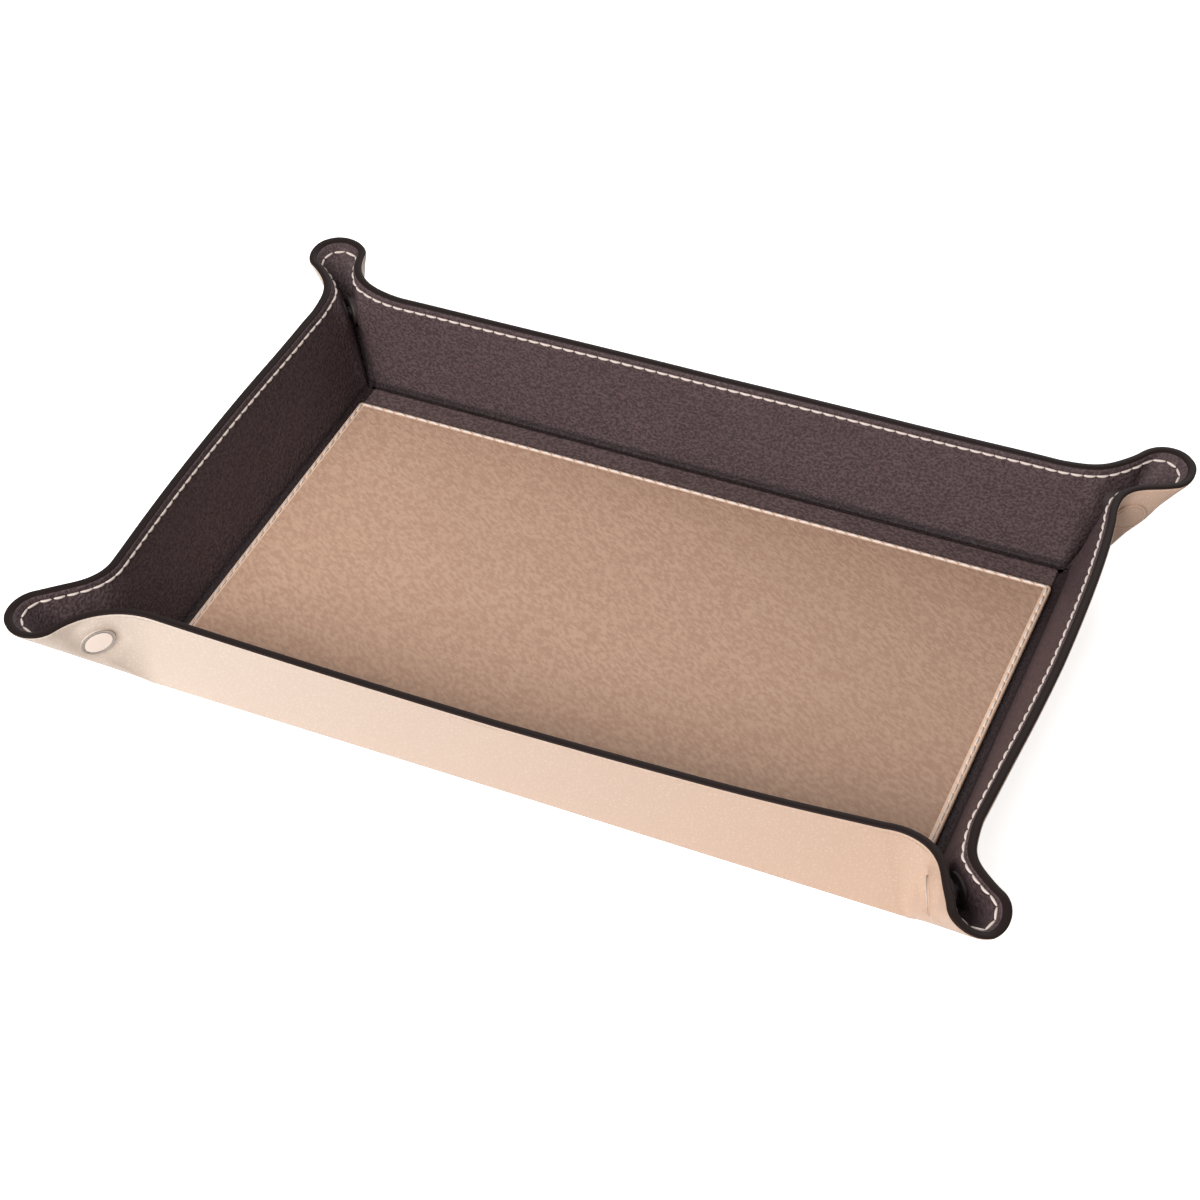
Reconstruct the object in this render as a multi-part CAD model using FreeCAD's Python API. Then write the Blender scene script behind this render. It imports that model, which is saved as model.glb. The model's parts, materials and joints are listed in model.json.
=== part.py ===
import FreeCAD, Part
import math
import os

# A leather valet tray: a stiff base, four walls and four pinched corner ears, each held by a press stud.
# The sheet is two leathers bonded back to back. It bends at the wall creases and in the ears, so it is
# cut there into panels. The frame is +Z up, with the origin on the table under the middle of the base.

# Driving dimensions, in mm

# Base, measured between the outer wall creases
base_length = 244.0
base_width = 149.6
base_corner_radius = 6.0

# Rim, the top edge of walls and ears
rim_height = 36.0
long_wall_lean_out = 9.0
end_wall_lean_out = 14.3
long_wall_bow_radius = 3400.0
end_wall_bow_radius = 850.0
neck_flare_radius = 24.0
ear_end_radius = 8.7
ear_reach = 27.4

# Leathers and board
outer_thickness = 1.6
lining_thickness = 1.6
board_thickness = 2.0
bond_gap = 0.05

# Inlay sewn on the base, with the floor that it leaves free up to the creases
inlay_end_margin = 4.2
inlay_side_margin = 13.8
inlay_thickness = 1.2
inlay_corner_radius = 1.5

# Room left at the bends, so that the panels fold flat
crease_gap = 0.2
bend_gap = 0.2
ear_split_gap = 0.3
ear_foot_height = 3.6

# Press studs
snap_reach = 11.5
snap_set_depth = 0.3
snap_play = 0.15
cap_radius = 6.0
cap_height = 1.5
cap_edge_height = 0.6
shank_radius = 1.5
shank_bite = 0.4
socket_radius = 4.6
socket_height = 4.2
socket_floor = 1.0
flange_thickness = 0.8
stud_neck_radius = 1.4
stud_head_radius = 1.9
stud_head_play = 0.7
stud_engagement = 2.4

# Share of the rim's height at which the press studs sit
snap_height_share = 49 / 72

# Shares of the ear's curves at which its panels part: along the flare and along the round end
flare_bend_share = 0.42
round_bend_share = 0.5

# Angles in degrees
quarter_turn = 90.0
ear_angle = 45.0
# Where the same partings meet the base corner's arc: end of wall, neck, bend of the round end, ear's end
foot_angles = (90.0, 82.0, 72.0, 64.0, 54.0)

Vector = FreeCAD.Vector
centre = Vector(0, 0, 0)
up = Vector(0, 0, 1)
sheet_thickness = outer_thickness + lining_thickness
inlay_length = base_length - 2 * inlay_end_margin
inlay_width = base_width - 2 * inlay_side_margin
snap_height = rim_height * snap_height_share
ear_direction = Vector(math.cos(math.radians(ear_angle)), math.sin(math.radians(ear_angle)), 0)
pinch_direction = Vector(-ear_direction.y, ear_direction.x, 0)


def angle_of(vector):
    """Direction of a vector in plan, in degrees."""
    return math.degrees(math.atan2(vector.y, vector.x))


def circles_meet(first, first_radius, second, second_radius):
    """The point where two circles cross that lies nearer to the wall's middle."""
    gap = second - first
    along = (first_radius**2 - second_radius**2 + gap.Length**2) / (2 * gap.Length)
    across = math.sqrt(first_radius**2 - along**2)
    unit = gap / gap.Length
    side = Vector(-unit.y, unit.x, 0)
    points = (first + unit * along + side * across, first + unit * along - side * across)
    return min(points, key=lambda point: abs(point.x))


class Curve:
    """An arc in plan. Its inset goes towards the tray's inside, which may lie on either side of the arc."""

    def __init__(self, middle, radius, start, end, hollow=False):
        self.middle = middle
        self.radius = radius
        self.start = start
        self.end = end
        self.hollow = hollow

    def point(self, share, inset, height):
        """The point at a share of the arc, moved in by inset and lifted to height."""
        turn = math.radians(self.start + (self.end - self.start) * share)
        radius = self.radius + inset if self.hollow else self.radius - inset
        return self.middle + Vector(radius * math.cos(turn), radius * math.sin(turn), height)

    def edge(self, inset, height):
        """The arc itself, as an edge."""
        points = [self.point(share, inset, height) for share in (0, 1 / 2, 1)]
        return Part.Arc(*points).toShape()

    def span(self, first, last, gap_before=0, gap_after=0):
        """The stretch between two shares, shortened by half a gap at either end."""
        sweep = self.end - self.start
        turn_before = math.copysign(math.degrees(gap_before / 2 / self.radius), sweep)
        turn_after = math.copysign(math.degrees(gap_after / 2 / self.radius), sweep)
        start = self.start + sweep * first + turn_before
        end = self.start + sweep * last - turn_after
        return Curve(self.middle, self.radius, start, end, self.hollow)


class Straight:
    """The straight foot of a wall along X. The tray's inside lies towards -Y."""

    def __init__(self, start, end):
        self.start = start
        self.end = end

    def point(self, share, inset, height):
        """The point at a share of the line, moved in by inset and lifted to height."""
        place = self.start + (self.end - self.start) * share
        return Vector(place.x, place.y - inset, height)

    def edge(self, inset, height):
        """The line itself, as an edge."""
        return Part.makeLine(self.point(0, inset, height), self.point(1, inset, height))


def panel(feet, rims, outer_inset, inner_inset):
    """A curved leather panel between two insets, ruled from its foot on the table to its rim."""
    levels = ((feet, 0), (rims, rim_height))
    insets = (outer_inset, inner_inset)
    outside, inside, near_ends, far_ends = [], [], [], []
    for curves, height in levels:
        outside.append([curve.edge(outer_inset, height) for curve in curves])
        inside.append([curve.edge(inner_inset, height) for curve in curves])
        near_ends.append(Part.makeLine(*[curves[0].point(0, inset, height) for inset in insets]))
        far_ends.append(Part.makeLine(*[curves[-1].point(1, inset, height) for inset in insets]))
    faces = [Part.makeRuledSurface(*near_ends), Part.makeRuledSurface(*far_ends)]
    for skin in (outside, inside):
        faces += [Part.makeRuledSurface(foot, rim) for foot, rim in zip(*skin)]
    for level in range(len(levels)):
        border = outside[level] + [far_ends[level]] + inside[level][::-1] + [near_ends[level]]
        faces.append(Part.Face(Part.Wire(border)))
    shell = Part.makeShell(faces)
    shell.sewShape()
    solid = Part.makeSolid(shell)
    return solid if solid.Volume > 0 else solid.reversed()


def mirrored(curve):
    """The same arc on the other side of X = 0, run so that a chain of curves still goes towards +X."""
    flip = 2 * quarter_turn
    middle = Vector(-curve.middle.x, curve.middle.y, 0)
    return Curve(middle, curve.radius, flip - curve.end, flip - curve.start, curve.hollow)


class Side:
    """One wall with the half ear at its right end, in a frame where the wall runs along X at +Y."""

    def __init__(self, half_length, half_width, lean_out, bow_radius):
        self.corner = Vector(half_length, half_width, 0)
        ear_middle = self.corner + ear_direction * ear_reach
        wall_middle = Vector(0, half_width + lean_out - bow_radius, 0)
        flare_middle = circles_meet(
            wall_middle, bow_radius + neck_flare_radius, ear_middle, ear_end_radius + neck_flare_radius
        )
        wall_end = angle_of(flare_middle - wall_middle)
        neck = angle_of(flare_middle - ear_middle)
        self.wall_rim = Curve(wall_middle, bow_radius, 2 * quarter_turn - wall_end, wall_end)
        flare_start = wall_end - 2 * quarter_turn
        flare_end = neck - 2 * quarter_turn
        self.flare = Curve(flare_middle, neck_flare_radius, flare_start, flare_end, hollow=True)
        self.round_end = Curve(ear_middle, ear_end_radius, neck, ear_angle)
        inner = Vector(half_length - base_corner_radius, half_width - base_corner_radius, 0)
        self.wall_foot = Straight(Vector(-inner.x, half_width, 0), Vector(inner.x, half_width, 0))
        self.feet = [
            Curve(inner, base_corner_radius, start, end) for start, end in zip(foot_angles, foot_angles[1:])
        ]

    def wall(self, outer_inset, inner_inset):
        """The wall, with the first part of the flare at both ends."""
        foot = self.feet[0].span(0, 1, gap_after=bend_gap)
        flare = self.flare.span(0, flare_bend_share, gap_after=bend_gap)
        feet = [mirrored(foot), self.wall_foot, foot]
        rims = [mirrored(flare), self.wall_rim, flare]
        return panel(feet, rims, outer_inset, inner_inset)

    def flap(self, outer_inset, inner_inset):
        """The ear's side: the rest of the flare, the neck and the first part of the round end."""
        feet = [self.feet[1].span(0, 1, gap_before=bend_gap), self.feet[2].span(0, 1, gap_after=bend_gap)]
        rims = [
            self.flare.span(flare_bend_share, 1, gap_before=bend_gap),
            self.round_end.span(0, round_bend_share, gap_after=bend_gap),
        ]
        return above_foot(panel(feet, rims, outer_inset, inner_inset))

    def tip(self, outer_inset, inner_inset):
        """The last part of the round end, up to the ear's middle plane."""
        foot = self.feet[3].span(0, 1, gap_before=bend_gap)
        rim = self.round_end.span(round_bend_share, 1, gap_before=bend_gap, gap_after=ear_split_gap)
        return above_foot(panel([foot], [rim], outer_inset, inner_inset))

    def flap_bend(self):
        """The line that the flap bends about, on the lining, where the flare opens."""
        foot = self.feet[1].point(0, sheet_thickness, 0)
        return foot, self.flare.point(flare_bend_share, sheet_thickness, rim_height)

    def tip_bend(self):
        """The line that the tip bends about, on the outer leather, where the round end opens."""
        return self.feet[3].point(0, 0, 0), self.round_end.point(round_bend_share, 0, rim_height)

    def snap_middle(self):
        """Where the press stud's axis crosses the ear's middle plane."""
        return self.corner + ear_direction * snap_reach + up * snap_height


def above_foot(shape):
    """Takes off what lies lower than the ear's foot, where the panels would be too narrow to fold."""
    box = shape.BoundBox
    cutter = Part.makeBox(box.XLength, box.YLength, ear_foot_height, Vector(box.XMin, box.YMin, 0))
    return shape.cut(cutter)


def plate(length, width, corner_radius, thickness, height):
    """A flat rounded rectangle about the origin, from height up."""
    block = Part.makeBox(length, width, thickness, Vector(-length / 2, -width / 2, height))
    corners = [edge for edge in block.Edges if abs(edge.tangentAt(edge.FirstParameter).z) > 1 / 2]
    return block.makeFillet(corner_radius, corners)


def base_pieces():
    """Outer leather, board and lining of the base, with the inlay on top."""
    length = base_length - 2 * (sheet_thickness + crease_gap)
    width = base_width - 2 * (sheet_thickness + crease_gap)
    radius = base_corner_radius - sheet_thickness
    pieces = {}
    height = 0
    for name, thickness in (
        ("base_outer_leather", outer_thickness),
        ("base_board", board_thickness),
        ("base_lining", lining_thickness),
    ):
        pieces[name] = plate(length, width, radius, thickness, height)
        height += thickness
    pieces["inlay_panel"] = plate(inlay_length, inlay_width, inlay_corner_radius, inlay_thickness, height)
    return pieces


def on_snap_axis(shape, side, distance):
    """Stands a turned piece on the press stud's axis, that far out from the ear's middle plane."""
    turn = FreeCAD.Rotation(up, pinch_direction)
    shape.Placement = FreeCAD.Placement(side.snap_middle() + pinch_direction * distance, turn)
    return shape


def skin_distances(solid, side):
    """How far from the ear's middle plane the press stud's axis enters and leaves a panel."""
    start = side.snap_middle()
    axis = Part.makeLine(start, start + pinch_direction * rim_height)
    met = [(vertex.Point - start).Length for vertex in axis.common(solid).Vertexes]
    return min(met), max(met)


def shank_bore():
    """The blind hole in a socket or stud that the shank is riveted into."""
    return Part.makeCylinder(shank_radius + snap_play, shank_bite, Vector(0, 0, -shank_bite))


def snap_head(side, seat, inner_seat):
    """The domed disc seen on the outside, with the shank that goes through the leathers."""
    shank_length = seat - inner_seat + shank_bite
    rise = cap_height - cap_edge_height
    dome_radius = (cap_radius**2 + rise**2) / (2 * rise)
    disc = Part.makeCylinder(cap_radius, cap_height)
    ball = Part.makeSphere(dome_radius, Vector(0, 0, cap_height - dome_radius))
    shank = Part.makeCylinder(shank_radius, shank_length, Vector(0, 0, -shank_length))
    return on_snap_axis(disc.common(ball).fuse(shank).removeSplitter(), side, seat)


def snap_socket(side, seat):
    """The cup that the stud's head springs into. Its mouth faces the other flap."""
    depth = socket_height - socket_floor
    cup = Part.makeCylinder(socket_radius, socket_height, Vector(0, 0, -socket_height))
    mouth = Part.makeCylinder(stud_head_radius + stud_head_play, depth, Vector(0, 0, -socket_height))
    rim = [edge for edge in cup.Edges if edge.Closed and edge.BoundBox.ZMax < -socket_floor]
    cup = cup.makeFillet(socket_floor / 2, rim).cut(mouth).cut(shank_bore())
    return on_snap_axis(cup, side, seat)


def snap_stud(side, seat, height):
    """The flange on the lining, with a neck and a round head that reaches into the socket."""
    flange = Part.makeCylinder(socket_radius, flange_thickness, Vector(0, 0, -flange_thickness))
    head_middle = Vector(0, 0, stud_head_radius - height)
    neck = Part.makeCylinder(stud_neck_radius, height - stud_head_radius, head_middle)
    head = Part.makeSphere(stud_head_radius, head_middle)
    stud = flange.fuse([neck, head]).cut(shank_bore()).removeSplitter()
    return on_snap_axis(stud, side, seat)


def seated(outer, lining, side, outer_seat, lining_seat):
    """Cuts the shank's hole and the pressed-in seats of the discs into a flap's two leathers."""
    hole = Part.makeCylinder(shank_radius + snap_play, rim_height)
    outer_disc = Part.makeCylinder(cap_radius + snap_play, rim_height)
    lining_disc = Part.makeCylinder(socket_radius + snap_play, rim_height, Vector(0, 0, -rim_height))
    on_snap_axis(hole, side, 0)
    on_snap_axis(outer_disc, side, outer_seat)
    on_snap_axis(lining_disc, side, lining_seat)
    for cutter in (outer_disc, lining_disc, hole):
        outer = outer.cut(cutter)
        lining = lining.cut(cutter)
    return outer, lining


def side_pieces(side):
    """The leathers of one side, before the press studs are set."""
    outer = (0, outer_thickness - bond_gap / 2)
    lining = (outer_thickness + bond_gap / 2, sheet_thickness)
    return {
        "wall_outer": side.wall(*outer),
        "wall_lining": side.wall(*lining),
        "flap_outer": side.flap(*outer),
        "flap_lining": side.flap(*lining),
        "tip_outer": side.tip(*outer),
        "tip_lining": side.tip(*lining),
    }


def set_press_stud(long_side, long_pieces, end_side, end_pieces):
    """Sets the socket half in the long wall's flap and the stud half in the end wall's flap."""
    seats = {}
    for name, side, pieces in (("long", long_side, long_pieces), ("end", end_side, end_pieces)):
        outside = skin_distances(pieces["flap_outer"], side)[1] - snap_set_depth
        inside = skin_distances(pieces["flap_lining"], side)[0] + snap_set_depth
        seats[name] = (outside, inside)
        pieces["flap_outer"], pieces["flap_lining"] = seated(
            pieces["flap_outer"], pieces["flap_lining"], side, outside, inside
        )
    cap_seat, socket_seat = seats["long"]
    post_seat, stud_seat = seats["end"]
    long_pieces["snap_cap"] = snap_head(long_side, cap_seat, socket_seat)
    long_pieces["snap_socket"] = snap_socket(long_side, socket_seat)
    end_pieces["snap_post"] = snap_head(end_side, post_seat, stud_seat)
    stud_height = stud_seat + stud_engagement + socket_seat - socket_height
    end_pieces["snap_stud"] = snap_stud(end_side, stud_seat, stud_height)


def turned_to_end(shape):
    """Swaps X and Y, which turns a wall along X into one along Y."""
    return shape.mirror(centre, Vector(1, -1, 0))


def placed(shape, to_left, to_front):
    """Mirrors a piece of the back right corner into another corner."""
    if to_left:
        shape = shape.mirror(centre, Vector(1, 0, 0))
    if to_front:
        shape = shape.mirror(centre, Vector(0, 1, 0))
    return shape


def all_pieces():
    """Every piece of the tray by its name."""
    long_side = Side(base_length / 2, base_width / 2, long_wall_lean_out, long_wall_bow_radius)
    end_side = Side(base_width / 2, base_length / 2, end_wall_lean_out, end_wall_bow_radius)
    long_pieces = side_pieces(long_side)
    end_pieces = side_pieces(end_side)
    set_press_stud(long_side, long_pieces, end_side, end_pieces)
    end_pieces = {name: turned_to_end(shape) for name, shape in end_pieces.items()}
    pieces = base_pieces()
    for layer in ("outer", "lining"):
        for wall, to_front in (("back", False), ("front", True)):
            pieces[f"{wall}_wall_{layer}"] = placed(long_pieces[f"wall_{layer}"], False, to_front)
        for wall, to_left in (("right", False), ("left", True)):
            pieces[f"{wall}_wall_{layer}"] = placed(end_pieces[f"wall_{layer}"], to_left, False)
    for depth, to_front in (("back", False), ("front", True)):
        for width, to_left in (("right", False), ("left", True)):
            for side, shapes in (("long", long_pieces), ("end", end_pieces)):
                for name, shape in shapes.items():
                    if name.startswith("snap"):
                        pieces[f"{depth}_{width}_{name}"] = placed(shape, to_left, to_front)
                    elif not name.startswith("wall"):
                        pieces[f"{depth}_{width}_{side}_{name}"] = placed(shape, to_left, to_front)
    for name, side in (("long", long_side), ("end", end_side)):
        print(name, "flap bends about", side.flap_bend(), "and its tip about", side.tip_bend())
    return pieces


os.makedirs("parts", exist_ok=True)
for piece_name, piece in all_pieces().items():
    piece.exportStep(f"parts/{piece_name}.step")
    print(piece_name, "valid" if piece.isValid() else "INVALID", len(piece.Solids), round(piece.Volume, 2))
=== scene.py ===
"""A leather valet tray: its leathers, edge paint, thread, inlay and press studs."""

import json
import logging
import math
from dataclasses import dataclass, field
from enum import Enum
from typing import ClassVar

import bmesh
import bpy
import numpy as np
from mathutils import Matrix, Vector


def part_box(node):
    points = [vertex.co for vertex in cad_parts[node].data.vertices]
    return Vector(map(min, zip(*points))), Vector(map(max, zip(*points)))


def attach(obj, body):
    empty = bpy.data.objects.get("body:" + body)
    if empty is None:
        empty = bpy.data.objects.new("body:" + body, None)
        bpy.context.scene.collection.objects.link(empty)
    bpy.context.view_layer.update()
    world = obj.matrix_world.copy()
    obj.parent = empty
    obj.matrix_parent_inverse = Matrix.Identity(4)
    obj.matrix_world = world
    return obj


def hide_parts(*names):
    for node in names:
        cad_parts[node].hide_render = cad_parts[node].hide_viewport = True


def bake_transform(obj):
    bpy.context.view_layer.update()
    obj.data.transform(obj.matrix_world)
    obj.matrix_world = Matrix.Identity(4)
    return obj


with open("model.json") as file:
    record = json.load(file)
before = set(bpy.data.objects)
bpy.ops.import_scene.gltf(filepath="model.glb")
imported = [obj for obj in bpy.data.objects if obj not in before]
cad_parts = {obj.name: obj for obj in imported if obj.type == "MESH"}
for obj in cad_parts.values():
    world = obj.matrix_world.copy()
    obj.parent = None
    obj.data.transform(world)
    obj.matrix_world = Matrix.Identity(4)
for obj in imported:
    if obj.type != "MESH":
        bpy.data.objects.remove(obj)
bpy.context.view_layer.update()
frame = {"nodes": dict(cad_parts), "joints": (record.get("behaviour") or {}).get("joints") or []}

Material = bpy.types.Material
Piece = bpy.types.Object
Socket = bpy.types.NodeSocket

MM = 0.001
# Mesh layer marking where painted shade darkens the lining in creases and folds
PAINTED_SHADE_MARK = "crease"
END_FILLS = 2
WHITE = "#FFFFFF"
QUARTER_TURN = math.pi / 2
HALF_TURN = math.pi
FULL_TURN = 2 * math.pi
EAR_ANGLE = math.radians(45.0)
UP = np.array([0.0, 0.0, 1.0])

# The two colours that a mix of colours takes, and the one that it gives, by socket number
FIRST_COLOUR = 6
SECOND_COLOUR = 7
MIXED_COLOUR = 2

log = logging.getLogger("valet_tray")


class SideKind(Enum):
    """The two kinds of wall."""

    LONG = "long"
    END = "end"


class Stretch(Enum):
    """The stretches of the rim, from a wall's middle out to the tip of an ear."""

    WALL = "wall"
    FLARE = "flare"
    ROUND = "round"


class Grain(Enum):
    """How a leather's grain looks: parted pebbles, or a soft mottle where they run together."""

    PEBBLE = "pebble"
    MOTTLE = "mottle"


class Layer(Enum):
    """The two leathers of the sheet."""

    OUTER = "outer"
    LINING = "lining"


def colour(code: str) -> tuple[float, float, float, float]:
    """Turns an sRGB hex code into linear RGBA, with the numbers of the sRGB standard.

    Args:
        code: A hash sign and six hex digits.

    Returns:
        Linear red, green and blue, and an alpha of one.
    """
    channels = [int(code[place : place + 2], 16) / 255 for place in (1, 3, 5)]
    linear = [c / 12.92 if c <= 0.04045 else ((c + 0.055) / 1.055) ** 2.4 for c in channels]
    return (linear[0], linear[1], linear[2], 1.0)


class Shader:
    """The node tree of one material or world."""

    def __init__(self, owner: bpy.types.ID) -> None:
        """Empties the owner's node tree."""
        owner.use_nodes = True
        self.tree = owner.node_tree
        self.tree.nodes.clear()

    def add(self, kind: str, settings: dict | None = None, links: dict | None = None) -> bpy.types.Node:
        """Adds one node.

        Args:
            kind: The node's type without its ShaderNode prefix.
            settings: Values by property name in lower case, or by the name or number of an input.
            links: Output sockets by the name or number of the input that they feed.

        Returns:
            The new node.
        """
        node = self.tree.nodes.new("ShaderNode" + kind)
        for key, value in (settings or {}).items():
            if isinstance(key, str) and key[0].islower():
                setattr(node, key, value)
            else:
                node.inputs[key].default_value = value
        for key, socket in (links or {}).items():
            self.tree.links.new(socket, node.inputs[key])
        return node


@dataclass(frozen=True)
class Leather:
    """Pebbled leather: rounded grains parted by fine furrows, which break its soft shine into specks.

    The falloff tint darkens the hide towards the tray's right end: painted shade for the light's falloff.
    The shade tone darkens it where the mesh marks a crease or fold: painted shade in creases and folds.
    """

    name: str
    face: str
    furrow: str
    cloud: str
    grain: float
    relief: float
    kind: Grain = Grain.PEBBLE
    roughness: float = 0.5
    shine: float = 0.15
    # painted shade: the falloff tint darkens the hide towards the right end, for the light's falloff
    painted_falloff_tint: str = ""
    painted_falloff_reach: float = 130.0 * MM
    # painted shade: this tone is mixed in where the mesh marks a crease or fold
    painted_shade_tone: str = "#170E0E"
    painted_shade_strength: float = 0.0
    stretch: tuple[float, float, float] = (1.0, 1.0, 1.0)
    stretch_turn: float = 0.0
    furrow_share: float = 0.45
    mottle_shares: tuple[float, float] = (0.32, 0.68)
    wander_per_grain: float = 0.5
    pores_per_grain: float = 4.0
    pore_height: float = 0.35
    fold_height: float = 2.5
    cloud_size: float = 26.0 * MM
    fold_size: float = 9.0 * MM
    grain_detail: float = 2.0
    relief_detail: float = 3.0
    cloud_detail: float = 4.0

    def build(self) -> Material:
        """Makes the material.

        Returns:
            The new material.
        """
        material = bpy.data.materials.new(self.name)
        shader = Shader(material)
        spot = shader.add("TexCoord").outputs["Object"]
        place = shader.add(
            "Mapping",
            {"vector_type": "TEXTURE", "Rotation": (0.0, 0.0, self.stretch_turn), "Scale": self.stretch},
            {"Vector": spot},
        ).outputs["Vector"]
        tops = self.grain_tops(shader, place)
        normal = self.bumps(shader, place, tops)
        paint = self.paint(shader, place, tops)
        # Painted shade for the light's falloff: darker towards the tray's right end
        if self.painted_falloff_tint:
            paint = self.paint_falloff_shade(shader, spot, paint)
        # Painted shade in the creases and folds that the mesh marks
        if self.painted_shade_strength:
            paint = self.paint_crease_shade(shader, paint)
        skin = shader.add(
            "BsdfPrincipled",
            {"Roughness": self.roughness, "Specular IOR Level": self.shine},
            {"Base Color": paint, "Normal": normal},
        )
        shader.add("OutputMaterial", links={"Surface": skin.outputs["BSDF"]})
        return material

    def grain_tops(self, shader: Shader, place: Socket) -> Socket:
        """Finds where the grain stands up.

        Args:
            shader: The material's nodes.
            place: Where a point lies on the grain.

        Returns:
            Nought in the furrows, one on the tops.
        """
        if self.kind is Grain.MOTTLE:
            low, high = self.mottle_shares
            noise = shader.add(
                "TexNoise", {"Scale": 1.0 / self.grain, "Detail": self.grain_detail}, {"Vector": place}
            )
            return shader.add(
                "MapRange",
                {"interpolation_type": "SMOOTHSTEP", "From Min": low, "From Max": high},
                {"Value": noise.outputs["Fac"]},
            ).outputs["Result"]
        wander = shader.add(
            "TexNoise",
            {"Scale": self.wander_per_grain / self.grain, "Detail": self.grain_detail},
            {"Vector": place},
        )
        shift = shader.add(
            "VectorMath",
            {"operation": "MULTIPLY_ADD", 1: (self.grain,) * 3},
            {0: wander.outputs["Color"], 2: place},
        ).outputs["Vector"]
        cells = shader.add(
            "TexVoronoi", {"feature": "DISTANCE_TO_EDGE", "Scale": 1.0 / self.grain}, {"Vector": shift}
        )
        return shader.add(
            "MapRange",
            {"interpolation_type": "SMOOTHSTEP", "From Max": self.furrow_share},
            {"Value": cells.outputs["Distance"]},
        ).outputs["Result"]

    def bumps(self, shader: Shader, place: Socket, tops: Socket) -> Socket:
        """Raises the grain, with fine pores on it and soft folds under it.

        Args:
            shader: The material's nodes.
            place: Where a point lies on the grain.
            tops: How far the grain stands up there.

        Returns:
            The bumped normal.
        """
        pores = shader.add(
            "TexNoise",
            {"Scale": self.pores_per_grain / self.grain, "Detail": self.relief_detail},
            {"Vector": place},
        ).outputs["Fac"]
        folds = shader.add(
            "TexNoise", {"Scale": 1.0 / self.fold_size, "Detail": self.relief_detail}, {"Vector": place}
        ).outputs["Fac"]
        rough = shader.add(
            "Math", {"operation": "MULTIPLY_ADD", 1: self.pore_height}, {0: pores, 2: tops}
        ).outputs[0]
        height = shader.add(
            "Math", {"operation": "MULTIPLY_ADD", 1: self.fold_height}, {0: folds, 2: rough}
        ).outputs[0]
        bump = shader.add("Bump", {"Strength": 1.0, "Distance": self.relief}, {"Height": height})
        return bump.outputs["Normal"]

    def paint(self, shader: Shader, place: Socket, tops: Socket) -> Socket:
        """Colours the hide: darker in the furrows, and cloudy on the tops.

        Args:
            shader: The material's nodes.
            place: Where a point lies on the grain.
            tops: How far the grain stands up there.

        Returns:
            The hide's colour.
        """
        clouds = shader.add(
            "TexNoise", {"Scale": 1.0 / self.cloud_size, "Detail": self.cloud_detail}, {"Vector": place}
        )
        cloudy = shader.add(
            "Mix",
            {"data_type": "RGBA", FIRST_COLOUR: colour(self.face), SECOND_COLOUR: colour(self.cloud)},
            {0: clouds.outputs["Fac"]},
        ).outputs[MIXED_COLOUR]
        return shader.add(
            "Mix",
            {"data_type": "RGBA", FIRST_COLOUR: colour(self.furrow)},
            {0: tops, SECOND_COLOUR: cloudy},
        ).outputs[MIXED_COLOUR]

    def paint_falloff_shade(self, shader: Shader, spot: Socket, paint: Socket) -> Socket:
        """Paints shade for the light's falloff, growing from the tray's left end to its right end.

        Args:
            shader: The material's nodes.
            spot: Where a point lies on the tray.
            paint: The hide's colour.

        Returns:
            The colour with painted shade.
        """
        along = shader.add("SeparateXYZ", links={0: spot}).outputs["X"]
        share = shader.add(
            "MapRange", {"From Min": -self.painted_falloff_reach, "From Max": self.painted_falloff_reach}, {"Value": along}
        ).outputs["Result"]
        return shader.add(
            "Mix",
            {"data_type": "RGBA", "blend_type": "MULTIPLY", SECOND_COLOUR: colour(self.painted_falloff_tint)},
            {0: share, FIRST_COLOUR: paint},
        ).outputs[MIXED_COLOUR]

    def paint_crease_shade(self, shader: Shader, paint: Socket) -> Socket:
        """Darkens the hide with painted shade where the mesh marks a crease.

        Args:
            shader: The material's nodes.
            paint: The hide's colour.

        Returns:
            The darkened colour.
        """
        mark = shader.add("Attribute", {"attribute_name": PAINTED_SHADE_MARK}).outputs["Fac"]
        depth = shader.add("Math", {"operation": "MULTIPLY", 1: self.painted_shade_strength}, {0: mark}).outputs[0]
        return shader.add(
            "Mix",
            {"data_type": "RGBA", SECOND_COLOUR: colour(self.painted_shade_tone)},
            {0: depth, FIRST_COLOUR: paint},
        ).outputs[MIXED_COLOUR]


@dataclass(frozen=True)
class Plain:
    """A finish of one colour, with a fine unevenness that softens its glints."""

    name: str
    tone: str
    roughness: float
    metal: float = 0.0
    shine: float = 0.5
    uneven_size: float = 1.0 * MM
    relief: float = 0.02 * MM
    detail: float = 3.0

    def build(self) -> Material:
        """Makes the material.

        Returns:
            The new material.
        """
        material = bpy.data.materials.new(self.name)
        shader = Shader(material)
        place = shader.add("TexCoord").outputs["Object"]
        noise = shader.add(
            "TexNoise", {"Scale": 1.0 / self.uneven_size, "Detail": self.detail}, {"Vector": place}
        )
        bump = shader.add("Bump", {"Distance": self.relief}, {"Height": noise.outputs["Fac"]})
        skin = shader.add(
            "BsdfPrincipled",
            {
                "Base Color": colour(self.tone),
                "Roughness": self.roughness,
                "Metallic": self.metal,
                "Specular IOR Level": self.shine,
            },
            {"Normal": bump.outputs["Normal"]},
        )
        shader.add("OutputMaterial", links={"Surface": skin.outputs["BSDF"]})
        return material


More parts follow.
